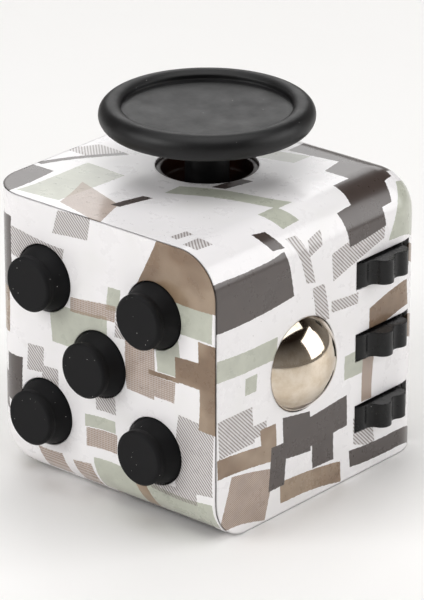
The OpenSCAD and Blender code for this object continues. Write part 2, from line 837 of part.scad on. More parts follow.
shell_top_right_back();
shell_front_bottom_left();
button(0);  // button_1
button(1);  // button_2
button(2);  // button_3
button(3);  // button_4
button(4);  // button_5
button_pad();
click_domes();
button_board();
board_screws();
joystick_cap();
cap_screw();
cap_washer();
stick_hub();
hub_pins();
gimbal_ring();
ring_pins();
gimbal_frame();
frame_screws();
stick_boot();
ball();
ball_cup();
ball_snap();
ball_guide();
guide_screws();
gear_wheel(0);  // gear_wheel_1
gear_wheel(1);  // gear_wheel_2
gear_wheel(2);  // gear_wheel_3
gear_axle();
gear_bracket();
bracket_screws();
gear_leaf_spring();
rocker();
rocker_pin();
rocker_cradle();
cradle_screws();
rocker_leaf_spring();
spin_dial();
dial_wave_washer();
dial_washer();
dial_screw();
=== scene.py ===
"""A fidget cube on a pale table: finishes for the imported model, with the stage and the camera."""
import math

import bpy
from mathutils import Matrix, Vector


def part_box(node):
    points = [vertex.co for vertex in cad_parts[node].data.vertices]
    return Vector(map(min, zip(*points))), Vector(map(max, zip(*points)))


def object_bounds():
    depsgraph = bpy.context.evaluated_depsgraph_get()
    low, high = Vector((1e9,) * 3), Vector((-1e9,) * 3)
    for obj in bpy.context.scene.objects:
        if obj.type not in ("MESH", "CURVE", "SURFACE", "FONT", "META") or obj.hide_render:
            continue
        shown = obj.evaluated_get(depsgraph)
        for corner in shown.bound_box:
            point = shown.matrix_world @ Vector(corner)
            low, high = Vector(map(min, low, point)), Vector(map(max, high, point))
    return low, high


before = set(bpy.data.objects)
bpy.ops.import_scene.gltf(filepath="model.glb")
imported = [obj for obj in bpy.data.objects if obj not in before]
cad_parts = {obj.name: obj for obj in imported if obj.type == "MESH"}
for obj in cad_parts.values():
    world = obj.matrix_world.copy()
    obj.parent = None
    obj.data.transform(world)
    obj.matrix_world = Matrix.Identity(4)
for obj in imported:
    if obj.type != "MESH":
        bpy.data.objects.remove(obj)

bl_info = {
    "name": "Fidget Cube Finishes",
    "version": (1, 0, 0),
    "blender": (4, 5, 0),
    "location": "View3D > Sidebar > Fidget Cube",
    "description": "Finishes a fidget cube's shells, controls and works, and sets it on a pale table",
    "category": "Object",
}

MM = 0.001
CAD_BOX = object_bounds()

# The nodes, by what they are made of
TOP_SHELL = "shell_top_right_back"
FRONT_SHELL = "shell_front_bottom_left"
BUTTONS = tuple(f"button_{i}" for i in range(1, 6))
WHEELS = tuple(f"gear_wheel_{i}" for i in range(1, 4))
ACETAL = ("gimbal_ring", "gimbal_frame", "ball_cup", "ball_guide", "gear_bracket", "rocker_cradle")
BRASS = ("gear_leaf_spring", "rocker_leaf_spring", "dial_wave_washer")
STEEL = ("click_domes", "board_screws", "cap_screw", "cap_washer", "hub_pins", "ring_pins",
         "frame_screws", "ball_snap", "guide_screws", "gear_axle", "bracket_screws", "rocker_pin",
         "cradle_screws", "dial_washer", "dial_screw")

# Where the laid patches of the film end and its stepped ones begin, in millimetres
LAID_INSET = 1.5
TOP_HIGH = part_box(TOP_SHELL)[1]
BACK_EDGE = TOP_HIGH.y / MM - LAID_INSET
FRONT_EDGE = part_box(FRONT_SHELL)[0].y / MM + LAID_INSET

# The film's patches on the button side: (across, up, width, height, lean, tilt), in millimetres
# from the middle of the side's foot. Lean slants the upright edges, tilt the level ones.
FRONT_DARK = ((-15.5, 26, 6, 8.5, 0, 0), (-12, 11.5, 2.5, 6, 0, 0), (-15.5, 9.5, 4.5, 5, 0, 0))
FRONT_BROWN = ((13.5, 30.5, 13, 7.5, 0.5, 0), (15.5, 18, 2.8, 10, 0, 0), (12.5, 19, 4, 3, 0, 0.05),
               (9, 17.6, 4, 0.6, 0, 0), (-15.5, 19.5, 5, 5.5, 0, 0), (6.5, 2, 1.6, 4.5, -0.25, 0))
FRONT_GREEN = ((13.5, 25, 5.6, 3.6, 0, 0), (9.5, 21, 3.4, 6, -0.1, 0), (-2.6, 20, 8.6, 5, -0.1, 0),
               (2.2, 24.5, 1.8, 2.4, 0, 0), (0, 9.2, 4.6, 1.4, 0, 0), (2.5, 3.2, 6.4, 3.6, -0.2, 0),
               (11.5, 2.8, 9.5, 4, 0, 0))
FRONT_TAN = ((6, 17.6, 3.6, 6.4, -0.05, -0.05), (9, 16, 3, 2.5, 0, 0), (-0.7, 23, 6.7, 1.7, 0, 0),
             (0.2, 7.3, 4.7, 2.2, 0, 0), (-7.3, 3, 3.4, 3.2, -0.2, 0), (-2.3, 2, 3, 4.4, -0.3, 0))
FRONT_HATCH = ((-4, 31.2, 5, 2.4, 0.3, 0), (-9.5, 27.3, 8, 3.3, 0.2, -0.1), (-9, 14.8, 2.2, 3, 0, 0),
               (-7, 13, 2.2, 2.2, 0, 0), (1, 11.7, 3, 2, 0, 0), (13.8, 9.7, 5.2, 8, 0, 0),
               (10.8, 5, 6.7, 1.4, 0, 0), (3.6, 22.2, 1.8, 3.4, 0, 0), (-0.4, 13.6, 2.4, 2.6, 0, 0))
# The patches on the joystick side, running over its edge and down the ball's side: (run, back,
# width along the run, width along the back, lean, tilt). The run is 0 on the joystick's middle.
OVER_DARK = ((22, -12.2, 6.2, 12.4, -0.05, 0.1), (16.2, -7.4, 3.2, 1.6, 0.3, 0.3),
             (7.5, 13.3, 11.5, 3.2, 0, 0.1), (11.8, 11.4, 6.5, 5, -0.3, 0), (15.4, 9.2, 6, 6.2, -0.1, -0.15),
             (19, 7, 5.2, 6.6, -0.2, 0.1), (41.3, -4.4, 5.4, 4.4, 0.1, 0), (41.3, 0.8, 4, 6.8, -0.1, 0),
             (44.9, -0.2, 3.6, 3.6, 0, 0), (44.2, -7.6, 5.2, 2.8, 0, -0.1),
             (47.4, 10, 2, 11, 0, 0), (-1, -11.4, 1.2, 4.6, 0.15, 0.2), (-13.2, -5.8, 0.9, 8.4, 0.6, 0),
             (4, -0.5, 1.4, 3.8, 0.2, 0.3), (-15.3, -14.6, 4.6, 8, 0, 0))
OVER_BROWN = ((25, 15.3, 2.2, 3.6, 0, 0), (30.6, 11.2, 3, 7, -0.25, 0), (33.8, 16.3, 2.8, 3.6, 0, 0),
              (41.6, -13.2, 2.4, 9.2, 0.12, 0), (40.3, -9.2, 3.2, 2.8, 0, 0), (48, -2.2, 2.4, 10, 0.1, 0))
OVER_GREEN = ((19.2, 14.8, 7.5, 4.6, 0, -0.35), (29.7, -13, 2.4, 9.6, 0, 0), (32.6, -12, 2, 1.8, 0, 0),
              (35.5, 5.4, 3, 3.2, 0, 0), (35.2, 12.1, 1.7, 1.7, 0, 0), (-9.6, -11.5, 5, 10.5, 0.1, 0.1),
              (6, -3.4, 12.5, 2.6, 0, 0.35), (13.7, -3.6, 4, 3, 0, 0.2), (2.4, 9.3, 5, 2.6, 0, 0.25))
OVER_TAN = ((-4.2, -15, 7, 5.4, -0.3, -0.3), (46.2, -12.8, 5.6, 8, 0.2, -0.3), (37.9, 7.9, 5.4, 1.8, 0, 0))
OVER_HATCH = ((20.8, -3.5, 6.6, 1.6, 0.2, 0.27), (19.9, -1.2, 2.2, 2.4, -0.3, -0.2),
              (22.3, 5.8, 2.8, 9, -0.3, 0), (26.8, -0.9, 3.8, 2.2, 0, 0.2), (27.8, 3.2, 1.2, 4.6, 0.1, 0),
              (37.6, -14.6, 4.6, 5.8, 0, 0), (-13.6, -3.4, 4, 3.6, 0.4, 0), (12.2, -15.3, 2, 2.4, 0, 0.2),
              (9.5, -15.2, 1, 2.2, 0.2, 0), (38.6, -10.6, 1.6, 2.4, 0, 0),
              (44.6, 7.2, 3.4, 3.6, 0.3, 0))

# The stepped patches, dark, brown, green, tan and hatched in turn: where their noise is read, the
# size of its blots in millimetres, and the level that it has to pass to show
STEPPED = (((3, 9, 5), 9.0, 0.63), ((41, 7, 23), 8.0, 0.645), ((7, 53, 31), 9.0, 0.62),
           ((67, 11, 3), 8.0, 0.65), ((19, 29, 71), 8.5, 0.62))

# Each soft light: its place, its width and height, and its share of the key light's power
SOFT_LIGHTS = (("key", (-0.22, -0.5, 0.34), (0.4, 0.4), 1.0),
               ("overhead", (0, 0.02, 0.65), (0.7, 0.7), 1.3),
               ("rear right", (0.42, 0.3, 0.24), (0.42, 0.4), 0.66),
               ("rear left", (-0.38, 0.44, 0.3), (0.4, 0.25), 0.26))
TABLE_REACH = 1.5

# The camera's framing at the cube's middle, in millimetres: how wide it sees, and how far the
# cube's middle lies to the left of the view's middle and below it
VIEW_WIDTH = 46.593
CUBE_LEFT, CUBE_DOWN = 0.33, 1.54
SENSOR_WIDTH = 36.0


def linear(colour_hex):
    """An sRGB hex colour, such as #c8c2ba, as linear red, green and blue."""
    values = []
    for i in (1, 3, 5):
        c = int(colour_hex[i:i + 2], 16) / 255
        values.append(c / 12.92 if c <= 0.04045 else ((c + 0.055) / 1.055) ** 2.4)
    return tuple(values)


def add(tree, kind, inputs=None, out=0, **settings):
    """Adds a shader node, sets it, links or fills its inputs, and returns one of its outputs."""
    node = tree.nodes.new("ShaderNode" + kind)
    for name, value in settings.items():
        setattr(node, name, value)
    for key, value in (inputs or {}).items():
        if isinstance(value, bpy.types.NodeSocket):
            tree.links.new(value, node.inputs[key])
        else:
            socket = node.inputs[key]
            wide = socket.type == "RGBA" and len(value) == 3
            socket.default_value = (*value, 1) if wide else value
    return node.outputs[out]


class FidgetFinishes(bpy.types.PropertyGroup):
    """Colours and sizes of the finishes."""

    film_ground: bpy.props.FloatVectorProperty(
        name="Film ground", description="White ground of the film on the shells", subtype="COLOR",
        size=3, min=0, max=1, default=linear("#f3f1f2"))
    film_dark: bpy.props.FloatVectorProperty(
        name="Film taupe", description="Darkest patches of the film", subtype="COLOR",
        size=3, min=0, max=1, default=linear("#443a36"))
    film_brown: bpy.props.FloatVectorProperty(
        name="Film brown", description="Brown patches of the film", subtype="COLOR",
        size=3, min=0, max=1, default=linear("#7c634b"))
    film_green: bpy.props.FloatVectorProperty(
        name="Film grey-green", description="Pale grey-green patches of the film", subtype="COLOR",
        size=3, min=0, max=1, default=linear("#b6b9a9"))
    film_tan: bpy.props.FloatVectorProperty(
        name="Film tan", description="Dotted tan patches of the film", subtype="COLOR",
        size=3, min=0, max=1, default=linear("#957b66"))
    film_ink: bpy.props.FloatVectorProperty(
        name="Film hatching", description="Lines of the hatched patches", subtype="COLOR",
        size=3, min=0, max=1, default=linear("#857b77"))
    hatch_space: bpy.props.FloatProperty(
        name="Hatch spacing", description="Distance between the lines of a hatched patch",
        subtype="DISTANCE", unit="LENGTH", min=0.0002, max=0.002, default=0.45 * MM)
    camo_step: bpy.props.FloatProperty(
        name="Step of the pattern", description="Size of the squares that the film's patches are made of",
        subtype="DISTANCE", unit="LENGTH", min=0.0005, max=0.005, default=1.5 * MM)
    silicone: bpy.props.FloatVectorProperty(
        name="Silicone", description="Colour of the buttons", subtype="COLOR",
        size=3, min=0, max=1, default=linear("#08080a"))
    black_plastic: bpy.props.FloatVectorProperty(
        name="Black plastic", description="Colour of the cap, the wheels, the dial and the rocker",
        subtype="COLOR", size=3, min=0, max=1, default=linear("#0c0c0d"))
    ball_metal: bpy.props.FloatVectorProperty(
        name="Ball plating", description="Colour of the plating on the ball", subtype="COLOR",
        size=3, min=0, max=1, default=linear("#ddd1c1"))
    grey_acetal: bpy.props.FloatVectorProperty(
        name="Grey acetal", description="Colour of the running pieces inside", subtype="COLOR",
        size=3, min=0, max=1, default=linear("#8f9193"))


class FidgetStage(bpy.types.PropertyGroup):
    """Table, lights and camera."""

    table: bpy.props.FloatVectorProperty(
        name="Table", description="Colour of the table top", subtype="COLOR",
        size=3, min=0, max=1, default=linear("#f4f3f1"))
    turn: bpy.props.FloatProperty(
        name="Turn", description="Turn of the camera to the right of the button side",
        subtype="ANGLE", unit="ROTATION", default=math.radians(40.8))
    rise: bpy.props.FloatProperty(
        name="Rise", description="Angle of the camera above the table",
        subtype="ANGLE", unit="ROTATION", default=math.radians(23.2))
    distance: bpy.props.FloatProperty(
        name="Distance", description="Distance from the camera to the middle of the cube",
        subtype="DISTANCE", unit="LENGTH", min=0.1, default=0.47)
    key_power: bpy.props.FloatProperty(
        name="Key light", description="Power of the large soft light", subtype="POWER", unit="POWER",
        min=0, default=2.3)


def new_material(name):
    """A material with an empty tree, that tree, and the point's place on the piece in millimetres."""
    made = bpy.data.materials.new(name)
    made.use_nodes = True
    tree = made.node_tree
    tree.nodes.clear()
    place = add(tree, "TexCoord", out="Object")
    place = add(tree, "VectorMath", {0: place, "Scale": 1 / MM}, operation="SCALE")
    return made, tree, place


def close_material(tree, shader):
    """Links a shader to a new material output."""
    tree.links.new(shader, tree.nodes.new("ShaderNodeOutputMaterial").inputs["Surface"])


def give(names, made):
    """Puts a finish on every slot of the named pieces."""
    for name in names:
        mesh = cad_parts[name].data
        if not mesh.materials:
            mesh.materials.append(made)
        for i in range(len(mesh.materials)):
            mesh.materials[i] = made


def patch_mask(tree, flat, patches):
    """1 inside any of the slanted patches and 0 outside them, on the flat place's two axes."""
    total = None
    for across, up, width, height, lean, tilt in patches:
        sides = []
        for normal, middle, size in (((1, -lean, 0), across - lean * up, width),
                                     ((-tilt, 1, 0), up - tilt * across, height)):
            reach = add(tree, "VectorMath", {0: flat, 1: normal}, out="Value", operation="DOT_PRODUCT")
            sides.append(add(tree, "Math", {0: reach, 1: middle, 2: size / 2}, operation="COMPARE"))
        inside = add(tree, "Math", {0: sides[0], 1: sides[1]}, operation="MULTIPLY")
        if total is not None:
            inside = add(tree, "Math", {0: total, 1: inside}, operation="MAXIMUM")
        total = inside
    return total


def film_place(tree, place, over_edge):
    """The place on the film, laid flat: across and up on the button side, or, over the edge, along
    the run from the joystick side down the ball's side. It is bent a little, as a film stretches."""
    x, y, z = add(tree, "SeparateXYZ", {0: place}).node.outputs
    if over_edge:
        raised = add(tree, "Math", {0: x, 1: TOP_HIGH.z / MM}, operation="ADD")
        run = add(tree, "Math", {0: raised, 1: z}, operation="SUBTRACT")
        flat = add(tree, "CombineXYZ", {0: run, 1: y})
    else:
        flat = add(tree, "CombineXYZ", {0: x, 1: z})
    # A drift of up to 1.1 mm in blots of 11 mm, and a ragged edge of up to 0.16 mm in blots of 0.4 mm
    drift = add(tree, "TexNoise", {"Vector": place, "Scale": 0.09, "Detail": 0.0}, out="Color")
    drift = add(tree, "VectorMath", {0: drift, 1: (0.5, 0.5, 0.5)}, operation="SUBTRACT")
    drift = add(tree, "VectorMath", {0: drift, "Scale": 2.2}, operation="SCALE")
    ragged = add(tree, "TexNoise", {"Vector": place, "Scale": 2.5, "Detail": 1.0}, out="Color")
    ragged = add(tree, "VectorMath", {0: ragged, "Scale": 0.16}, operation="SCALE")
    flat = add(tree, "VectorMath", {0: flat, 1: drift}, operation="ADD")
    return add(tree, "VectorMath", {0: flat, 1: ragged}, operation="ADD")


def film_masks(tree, place, finishes, laid, over_edge):
    """Masks of the film's five kinds of patch: laid ones on the sides with a layout, stepped ones
    on the others."""
    flat = film_place(tree, place, over_edge)
    back = add(tree, "SeparateXYZ", {0: place}, out=1)
    edge = BACK_EDGE if over_edge else FRONT_EDGE
    shown = add(tree, "Math", {0: back, 1: edge}, operation="LESS_THAN")
    hidden = add(tree, "Math", {0: 1.0, 1: shown}, operation="SUBTRACT")
    step = finishes.camo_step / MM
    masks = []
    for patches, (offset, size, level) in zip(laid, STEPPED):
        laid_mask = patch_mask(tree, flat, patches)
        laid_mask = add(tree, "Math", {0: laid_mask, 1: shown}, operation="MULTIPLY")
        moved = add(tree, "VectorMath", {0: place, 1: offset}, operation="ADD")
        snapped = add(tree, "VectorMath", {0: moved, 1: (step, step, step)}, operation="SNAP")
        blots = add(tree, "TexNoise", {"Vector": snapped, "Scale": 1 / size, "Detail": 0.0})
        blots = add(tree, "Math", {0: blots, 1: level}, operation="GREATER_THAN")
        blots = add(tree, "Math", {0: blots, 1: hidden}, operation="MULTIPLY")
        masks.append(add(tree, "Math", {0: laid_mask, 1: blots}, operation="MAXIMUM"))
    return masks


def film_colour(tree, place, finishes, masks):
    """The printed film's colour, from the masks of its patches."""
    dark, brown, green, tan, hatch = masks
    # Lines and dots finer than half a millimetre, on the slant, as a printing screen lays them
    x, y, z = add(tree, "SeparateXYZ", {0: place}).node.outputs
    slant = add(tree, "Math", {0: x, 1: y}, operation="ADD")
    slant = add(tree, "Math", {0: slant, 1: z}, operation="ADD")
    across = add(tree, "Math", {0: x, 1: y}, operation="SUBTRACT")
    across = add(tree, "Math", {0: across, 1: z}, operation="SUBTRACT")
    rate = 2 * math.pi / (finishes.hatch_space / MM)
    slant = add(tree, "Math", {0: slant, 1: rate}, operation="MULTIPLY")
    across = add(tree, "Math", {0: across, 1: rate}, operation="MULTIPLY")
    lines = add(tree, "Math", {0: slant}, operation="SINE")
    rows = add(tree, "Math", {0: across}, operation="SINE")
    dots = add(tree, "Math", {0: lines, 1: rows}, operation="MULTIPLY")
    line_ink = add(tree, "MapRange", {"Value": lines, "From Min": -0.4, "From Max": 0.7,
                                      "To Min": 0.3, "To Max": 0.95})
    dot_ink = add(tree, "MapRange", {"Value": dots, "From Min": -0.5, "From Max": 0.6,
                                     "To Min": 0.55, "To Max": 1.0})
    lined = add(tree, "Math", {0: hatch, 1: line_ink}, operation="MULTIPLY")
    dotted = add(tree, "Math", {0: tan, 1: dot_ink}, operation="MULTIPLY")
    thin_green = add(tree, "Math", {0: green, 1: 0.92}, operation="MULTIPLY")
    # The inks dry unevenly on the water: a mottle of 1.6 mm, and clouds of 6 mm that fade the brown
    mottle = add(tree, "TexNoise", {"Vector": place, "Scale": 1 / 1.6, "Detail": 4.0, "Roughness": 0.6})
    cloud = add(tree, "TexNoise", {"Vector": place, "Scale": 1 / 6, "Detail": 2.0})
    greyed = add(tree, "MapRange", {"Value": cloud, "From Min": 0.5, "From Max": 0.8, "To Max": 0.35})
    faded = add(tree, "MapRange", {"Value": cloud, "From Min": 0.42, "From Max": 0.6})
    brown_ink = add(tree, "Mix", {"Factor": faded, 6: finishes.film_brown, 7: linear("#9d8872")}, out=2,
                    data_type="RGBA")
    colour = add(tree, "Mix", {"Factor": greyed, 6: finishes.film_ground, 7: linear("#e4e4de")}, out=2,
                 data_type="RGBA")
    for mask, ink in ((thin_green, finishes.film_green), (lined, finishes.film_ink),
                      (dotted, finishes.film_tan), (brown, brown_ink), (dark, finishes.film_dark)):
        colour = add(tree, "Mix", {"Factor": mask, 6: colour, 7: ink}, out=2, data_type="RGBA")
    deep = add(tree, "Math", {0: dark, 1: brown}, operation="MAXIMUM")
    pale = add(tree, "Math", {0: tan, 1: green}, operation="MAXIMUM")
    inked = add(tree, "Math", {0: deep, 1: pale}, operation="MAXIMUM")
    shade = add(tree, "MapRange", {"Value": mottle, "From Min": 0.3, "From Max": 0.7,
                                   "To Min": 0.9, "To Max": 1.06})
    shade = add(tree, "CombineColor", {0: shade, 1: shade, 2: shade})
    shaded = add(tree, "Mix", {"Factor": 1.0, 6: colour, 7: shade}, out=2, data_type="RGBA",
                 blend_type="MULTIPLY")
    colour = add(tree, "Mix", {"Factor": inked, 6: colour, 7: shaded}, out=2, data_type="RGBA")
    # Rare specks of 0.1 mm under the lacquer, one to a cell of 0.9 mm
    cells = add(tree, "TexVoronoi", {"Vector": place, "Scale": 1 / 0.9}, out="Distance")
    specks = add(tree, "Math", {0: cells, 1: 0.055 / 0.9}, operation="LESS_THAN")
    rare = add(tree, "TexNoise", {"Vector": place, "Scale": 1 / 4, "Detail": 1.0})
    rare = add(tree, "Math", {0: rare, 1: 0.62}, operation="GREATER_THAN")
    specks = add(tree, "Math", {0: specks, 1: rare}, operation="MULTIPLY")
    return add(tree, "Mix", {"Factor": specks, 6: colour, 7: linear("#4a3f36")}, out=2, data_type="RGBA")


def film_material(name, finishes, laid, over_edge):
    """White ABS moulding under a water-transfer film and clear lacquer. The eye gets a crisp
    print under a wet-looking skin, with a slight orange peel that breaks up the highlights."""
    made, tree, place = new_material(name)
    colour = film_colour(tree, place, finishes, film_masks(tree, place, finishes, laid, over_edge))
    peel = add(tree, "TexNoise", {"Vector": place, "Scale": 1 / 1.1, "Detail": 1.0})
    round_edge = add(tree, "Bevel", {"Radius": 0.25 * MM}, samples=4)
    relief = add(tree, "Bump", {"Height": peel, "Distance": 0.012 * MM, "Strength": 0.5,
                                "Normal": round_edge})
    handled = add(tree, "TexNoise", {"Vector": place, "Scale": 1 / 3, "Detail": 5.0, "Roughness": 0.7})
    handled = add(tree, "MapRange", {"Value": handled, "From Min": 0.3, "From Max": 0.75,
                                     "To Min": 0.26, "To Max": 0.31})
    close_material(tree, add(tree, "BsdfPrincipled", {
        "Base Color": colour, "Roughness": handled, "IOR": 1.49, "Normal": relief,
        "Coat Weight": 0.45, "Coat Roughness": 0.12, "Coat IOR": 1.5}))
    return made


def silicone_material(name, colour, wear_and_glint, roughness):
    """Silicone rubber, moulded in a blasted tool. The eye gets a deep matte black that greys at
    the edges, with a few white specks of lint, which cling to silicone."""
    made, tree, place = new_material(name)
    # The blasted grain is about 0.05 mm and is drawn at 0.15 mm, so that it shows
    grain = add(tree, "TexNoise", {"Vector": place, "Scale": 1 / 0.15, "Detail": 2.0})
    cloud = add(tree, "TexNoise", {"Vector": place, "Scale": 1 / 1.5, "Detail": 3.0})
    wear = add(tree, "MapRange", {"Value": cloud, "From Min": 0.35, "From Max": 0.7})
    # On the boot, both colours mixed here are a painted glint: warm browns that stand in for its glints, not
    # its own colour
    base = add(tree, "Mix", {"Factor": wear, 6: colour, 7: wear_and_glint}, out=2, data_type="RGBA")
    # Lint of 0.1 mm, one speck to a cell of 0.75 mm, in scattered places
    cells = add(tree, "TexVoronoi", {"Vector": place, "Scale": 1 / 0.75}, out="Distance")
    lint = add(tree, "MapRange", {"Value": cells, "From Min": 0.075, "From Max": 0.045})
    rare = add(tree, "TexNoise", {"Vector": place, "Scale": 1 / 2.2, "Detail": 1.0})
    rare = add(tree, "MapRange", {"Value": rare, "From Min": 0.45, "From Max": 0.6})
    lint = add(tree, "Math", {0: lint, 1: rare}, operation="MULTIPLY")
    base = add(tree, "Mix", {"Factor": lint, 6: base, 7: linear("#c9c6c4")}, out=2, data_type="RGBA")
    rough = add(tree, "MapRange", {"Value": cloud, "From Min": 0.3, "From Max": 0.7,
                                   "To Min": roughness, "To Max": roughness + 0.12})
    round_edge = add(tree, "Bevel", {"Radius": 0.35 * MM}, samples=4)
    relief = add(tree, "Bump", {"Height": grain, "Distance": 0.02 * MM, "Strength": 0.6,
                                "Normal": round_edge})
    close_material(tree, add(tree, "BsdfPrincipled", {
        "Base Color": base, "Roughness": rough, "IOR": 1.42, "Specular IOR Level": 0.3,
        "Normal": relief}))
    return made


def plastic_material(name, colour, smooth, rough, edge):
    """Black ABS, moulded in a lightly textured tool. The eye gets a soft satin shine that runs in
    bands along its rounded edges, with faint rubbed spots."""
    made, tree, place = new_material(name)
    # The tool's texture is about 0.03 mm and is drawn at 0.12 mm, so that it shows
    grain = add(tree, "TexNoise", {"Vector": place, "Scale": 1 / 0.12, "Detail": 2.0})
    rubbed = add(tree, "TexNoise", {"Vector": place, "Scale": 1 / 2.5, "Detail": 5.0, "Roughness": 0.65})
    wear = add(tree, "MapRange", {"Value": rubbed, "From Min": 0.4, "From Max": 0.75})
    base = add(tree, "Mix", {"Factor": wear, 6: colour, 7: linear("#161617")}, out=2, data_type="RGBA")
    # Dust of 0.1 mm, one grain to a cell of 1.1 mm, in scattered places
    cells = add(tree, "TexVoronoi", {"Vector": place, "Scale": 1 / 1.1}, out="Distance")
    dust = add(tree, "MapRange", {"Value": cells, "From Min": 0.06, "From Max": 0.035})
    rare = add(tree, "TexNoise", {"Vector": place, "Scale": 1 / 3, "Detail": 1.0})
    rare = add(tree, "MapRange", {"Value": rare, "From Min": 0.52, "From Max": 0.62})
    dust = add(tree, "Math", {0: dust, 1: rare}, operation="MULTIPLY")
    base = add(tree, "Mix", {"Factor": dust, 6: base, 7: linear("#8d8b89")}, out=2, data_type="RGBA")
    shine = add(tree, "MapRange", {"Value": rubbed, "From Min": 0.3, "From Max": 0.75,
                                   "To Min": smooth, "To Max": rough})
    round_edge = add(tree, "Bevel", {"Radius": edge * MM}, samples=4)
    relief = add(tree, "Bump", {"Height": grain, "Distance": 0.006 * MM, "Strength": 0.5,
                                "Normal": round_edge})
    close_material(tree, add(tree, "BsdfPrincipled", {
        "Base Color": base, "Roughness": shine, "IOR": 1.53, "Specular IOR Level": 0.3,
        "Normal": relief}))
    return made


def steel_material():
    """Steel, zinc plated: a pale blue-grey metal, broken by fine drawn lines."""
    made, tree, place = new_material("steel, zinc plated")
    drawn = add(tree, "Mapping", {"Vector": place, "Scale": (1, 1, 12)})
    lines = add(tree, "TexNoise", {"Vector": drawn, "Scale": 1 / 1.2, "Detail": 4.0, "Roughness": 0.6})
    base = add(tree, "Mix", {"Factor": lines, 6: linear("#a9acb0"), 7: linear("#c8cacc")}, out=2,
               data_type="RGBA")
    shine = add(tree, "MapRange", {"Value": lines, "From Min": 0.3, "From Max": 0.7,
                                   "To Min": 0.25, "To Max": 0.42})
    relief = add(tree, "Bump", {"Height": lines, "Distance": 0.01 * MM, "Strength": 0.4})
    close_material(tree, add(tree, "BsdfPrincipled", {
        "Base Color": base, "Metallic": 1.0, "Roughness": shine, "Normal": relief}))
    return made


def brass_material():
    """Brass, rolled strip: a yellow metal with dull spots and a faint grain along the strip."""
    made, tree, place = new_material("brass, rolled strip")
    dull = add(tree, "TexNoise", {"Vector": place, "Scale": 1 / 1.5, "Detail": 5.0, "Roughness": 0.65})
    base = add(tree, "Mix", {"Factor": dull, 6: linear("#c9a24f"), 7: linear("#a9823a")}, out=2,
               data_type="RGBA")
    shine = add(tree, "MapRange", {"Value": dull, "From Min": 0.3, "From Max": 0.7,
                                   "To Min": 0.22, "To Max": 0.4})
    rolled = add(tree, "Mapping", {"Vector": place, "Scale": (1, 1, 10)})
    rolled = add(tree, "TexNoise", {"Vector": rolled, "Scale": 1.0, "Detail": 2.0})
    relief = add(tree, "Bump", {"Height": rolled, "Distance": 0.01 * MM, "Strength": 0.4})
    close_material(tree, add(tree, "BsdfPrincipled", {
        "Base Color": base, "Metallic": 1.0, "Roughness": shine, "Normal": relief}))
    return made


def acetal_material(grey):
    """Acetal, moulded: a waxy grey with a soft shine and flow marks of about 3 mm."""
    made, tree, place = new_material("acetal, moulded")
    flow = add(tree, "TexNoise", {"Vector": place, "Scale": 1 / 3, "Detail": 4.0, "Roughness": 0.6})
    base = add(tree, "Mix", {"Factor": flow, 6: grey, 7: linear("#a2a4a5")}, out=2, data_type="RGBA")
    shine = add(tree, "MapRange", {"Value": flow, "From Min": 0.3, "From Max": 0.7,
                                   "To Min": 0.38, "To Max": 0.5})
    grain = add(tree, "TexNoise", {"Vector": place, "Scale": 1 / 0.2, "Detail": 2.0})
    relief = add(tree, "Bump", {"Height": grain, "Distance": 0.01 * MM, "Strength": 0.4})
    close_material(tree, add(tree, "BsdfPrincipled", {
        "Base Color": base, "Roughness": shine, "IOR": 1.48, "Normal": relief}))
    return made


def board_material():
    """Glass-epoxy board with solder resist: green and glossy, with a 0.4 mm weave just showing."""
    made, tree, place = new_material("glass epoxy, solder resist")
    weave = add(tree, "TexChecker", {"Vector": place, "Scale": 1 / 0.4}, out="Fac")
    base = add(tree, "Mix", {"Factor": weave, 6: linear("#12502e"), 7: linear("#175a35")}, out=2,
               data_type="RGBA")
    resist = add(tree, "TexNoise", {"Vector": place, "Scale": 1 / 2, "Detail": 2.0})
    shine = add(tree, "MapRange", {"Value": resist, "From Min": 0.3, "From Max": 0.7,
                                   "To Min": 0.25, "To Max": 0.35})
    relief = add(tree, "Bump", {"Height": weave, "Distance": 0.01 * MM, "Strength": 0.3})
    close_material(tree, add(tree, "BsdfPrincipled", {
        "Base Color": base, "Roughness": shine, "IOR": 1.5, "Normal": relief}))
    return made


class FIDGET_OT_shells(bpy.types.Operator):
    """Finish both shells with the printed film"""

    bl_idname = "fidget.shells"
    bl_label = "Film on the shells"

    def execute(self, context):
        finishes = context.scene.fidget_finishes
        over = (OVER_DARK, OVER_BROWN, OVER_GREEN, OVER_TAN, OVER_HATCH)
        front = (FRONT_DARK, FRONT_BROWN, FRONT_GREEN, FRONT_TAN, FRONT_HATCH)
        give([TOP_SHELL], film_material("ABS moulding, water-transfer film, top", finishes, over, True))
        give([FRONT_SHELL], film_material("ABS moulding, water-transfer film, front", finishes,
                                          front, False))
        return {"FINISHED"}


class FIDGET_OT_buttons(bpy.types.Operator):
    """Finish the five buttons, their pad and the stick's boot in silicone"""

    bl_idname = "fidget.buttons"
    bl_label = "Silicone pieces"

    def execute(self, context):
        silicone = context.scene.fidget_finishes.silicone
        give(BUTTONS + ("button_pad",),
             silicone_material("silicone, moulded", silicone, linear("#121214"), 0.6))
        # The boot is smooth and oiled. Its dark brown is a painted glint, a warm colour that stands in for
        # the glints around the stick
        give(["stick_boot"],
             silicone_material("silicone, oiled, brown painted glint", linear("#2c1409"), linear("#3a1c0e"), 0.28))
        return {"FINISHED"}


class FIDGET_OT_joystick(bpy.types.Operator):
    """Finish the joystick's cap and hub"""

    bl_idname = "fidget.joystick"
    bl_label = "Joystick"

    def execute(self, context):
        colour = context.scene.fidget_finishes.black_plastic
        give(["joystick_cap", "stick_hub"], plastic_material("ABS, satin moulded", colour, 0.36, 0.5, 0.3))
        return {"FINISHED"}


class FIDGET_OT_controls(bpy.types.Operator):
    """Finish the gear wheels, the rocker and the dial"""

    bl_idname = "fidget.controls"
    bl_label = "Wheels, rocker and dial"

    def execute(self, context):
        colour = context.scene.fidget_finishes.black_plastic
        give(WHEELS + ("rocker", "spin_dial"),
             plastic_material("ABS, polished moulded", colour, 0.22, 0.34, 0.25))
        return {"FINISHED"}


